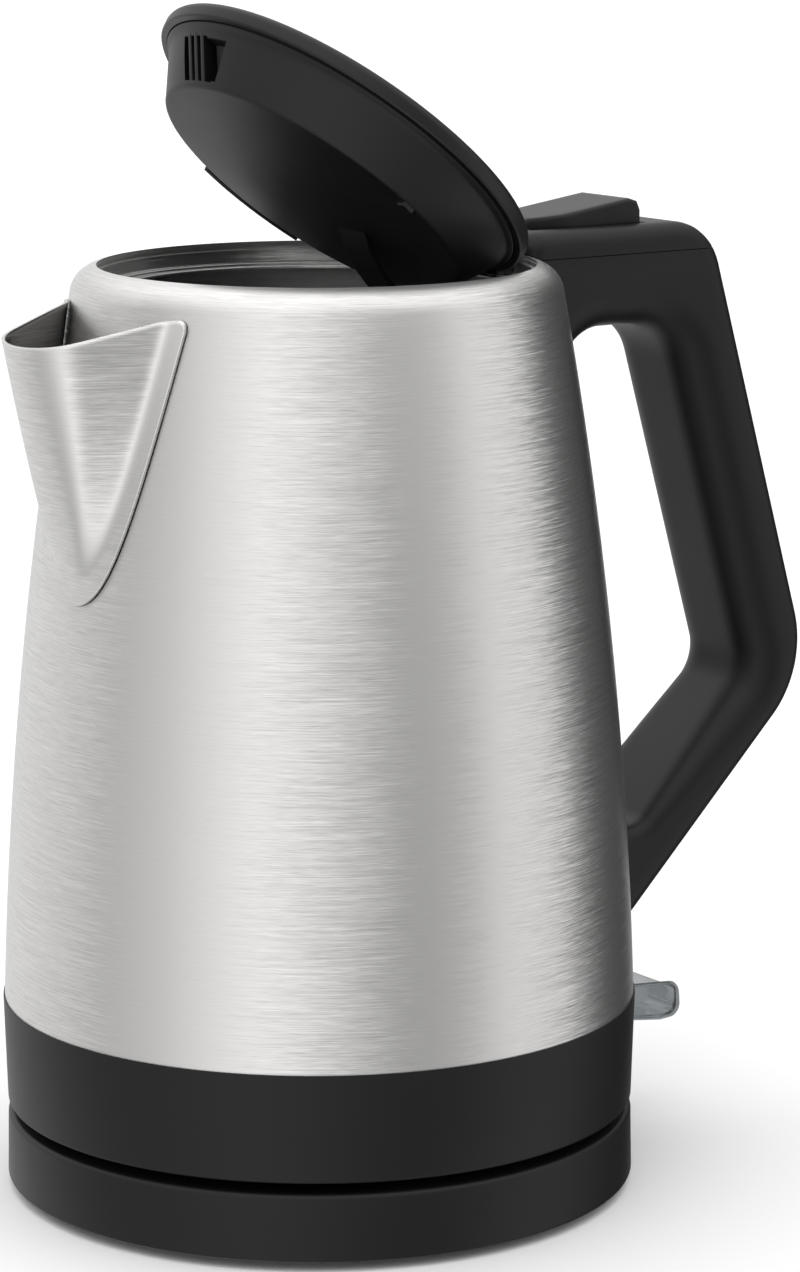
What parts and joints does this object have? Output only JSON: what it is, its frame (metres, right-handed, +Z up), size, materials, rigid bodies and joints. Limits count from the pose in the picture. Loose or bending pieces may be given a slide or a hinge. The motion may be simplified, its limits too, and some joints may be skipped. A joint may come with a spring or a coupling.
{
  "type": "electric kettle",
  "caption": "Cordless electric kettle: brushed steel jug with a V spout, angular black handle and open hinged lid, standing on a round power base.",
  "frame": {"origin": "under the middle of the kettle's overall box, on the surface it stands on", "axes": "+Z up; +X towards the handle, so the spout points along -X; +Y completes a right-handed frame"},
  "size_m": [0.2239, 0.1565, 0.2892],
  "materials": {
    "black_plastic": "fine moulded grain",
    "grip_plastic": "satin moulded",
    "dark_plastic": "satin moulded",
    "inner_plastic": "plain moulded",
    "pale_plastic": "plain moulded",
    "brushed_steel": "brushed round the body",
    "plain_steel": "satin",
    "aluminium": "plain",
    "brass": "polished",
    "rubber": "matt",
    "silicone": "matt",
    "clear_plastic": "smoky clear moulding",
    "lamp": "clear tinted"
  },
  "bodies": {
    "base": {"base_top_shell": "black_plastic", "base_bottom_cover": "black_plastic", "base_foot_1": "rubber", "base_foot_2": "rubber", "base_foot_3": "rubber", "base_connector": "inner_plastic", "base_ring_outer": "brass", "base_ring_inner": "brass", "base_earth_contact": "brass", "base_cord_gland": "rubber", "base_screw_1": "plain_steel", "base_screw_2": "plain_steel", "base_screw_3": "plain_steel"},
    "coupler": {"jug_control": "inner_plastic", "jug_contact_outer": "brass", "jug_contact_inner": "brass", "jug_earth_pin": "brass"},
    "jug": {"jug_body": "brushed_steel", "jug_collar": "black_plastic", "jug_underside_cover": "black_plastic", "jug_screw_1": "plain_steel", "jug_screw_2": "plain_steel", "jug_screw_3": "plain_steel", "bimetal_disc": "plain_steel", "heater_plate": "plain_steel", "heat_diffuser": "aluminium", "heating_element": "plain_steel", "body_seal": "silicone", "spout": "brushed_steel", "steam_tube": "black_plastic", "handle_body": "grip_plastic", "handle_top_cover": "grip_plastic", "handle_bracket_upper": "plain_steel", "handle_bracket_lower": "plain_steel", "button_pin": "plain_steel", "button_spring": "plain_steel", "hinge_housing": "black_plastic", "hinge_pin": "plain_steel", "lid_spring": "plain_steel", "lever_pin": "plain_steel", "indicator_lamp": "lamp"},
    "filter": {"filter_frame": "black_plastic", "filter_mesh": "plain_steel"},
    "lid": {"lid_cover": "dark_plastic", "lid_inner": "black_plastic", "lid_stay": "black_plastic", "lid_bumper": "rubber"},
    "button": {"lid_button": "dark_plastic"},
    "bolt": {"latch_bolt": "pale_plastic"},
    "lever": {"switch_lever": "clear_plastic", "trip_arm": "pale_plastic"}
  },
  "joints": [
    {"name": "jug_lift", "type": "slide", "parent": "base", "child": "coupler", "axis": [0, 0, 1], "range_m": [0, 0.12]},
    {"name": "jug_swivel", "type": "hinge", "parent": "coupler", "child": "jug", "pos_m": [-0.02845, 0, 0.0212], "axis": [0, 0, 1], "continuous": true},
    {"name": "lid_hinge", "type": "hinge", "parent": "jug", "child": "lid", "pos_m": [0.01955, 0, 0.2288], "axis": [0, 1, 0], "range_deg": [-39.6, 0], "stiffness_Nm_per_rad": 0.12, "springref_deg": 28.65},
    {"name": "button_press", "type": "hinge", "parent": "jug", "child": "button", "pos_m": [0.03855, 0, 0.2212], "axis": [0, 1, 0], "range_deg": [0, 4.5], "stiffness_Nm_per_rad": 1.2, "springref_deg": -8.59, "deforming": ["button_spring"]},
    {"name": "bolt_slide", "type": "slide", "parent": "jug", "child": "bolt", "axis": [1, 0, 0], "range_m": [0, 0.0018]},
    {"name": "switch_flip", "type": "hinge", "parent": "jug", "child": "lever", "pos_m": [0.04055, 0, 0.0332], "axis": [0, 1, 0], "range_deg": [0, 10]},
    {"name": "filter_pull", "type": "slide", "parent": "jug", "child": "filter", "axis": [1, 0, 0], "range_m": [0, 0.02]}
  ],
  "couplings": [
    {"joint": "bolt_slide", "follows": "button_press", "m_per_rad": 0.022}
  ]
}
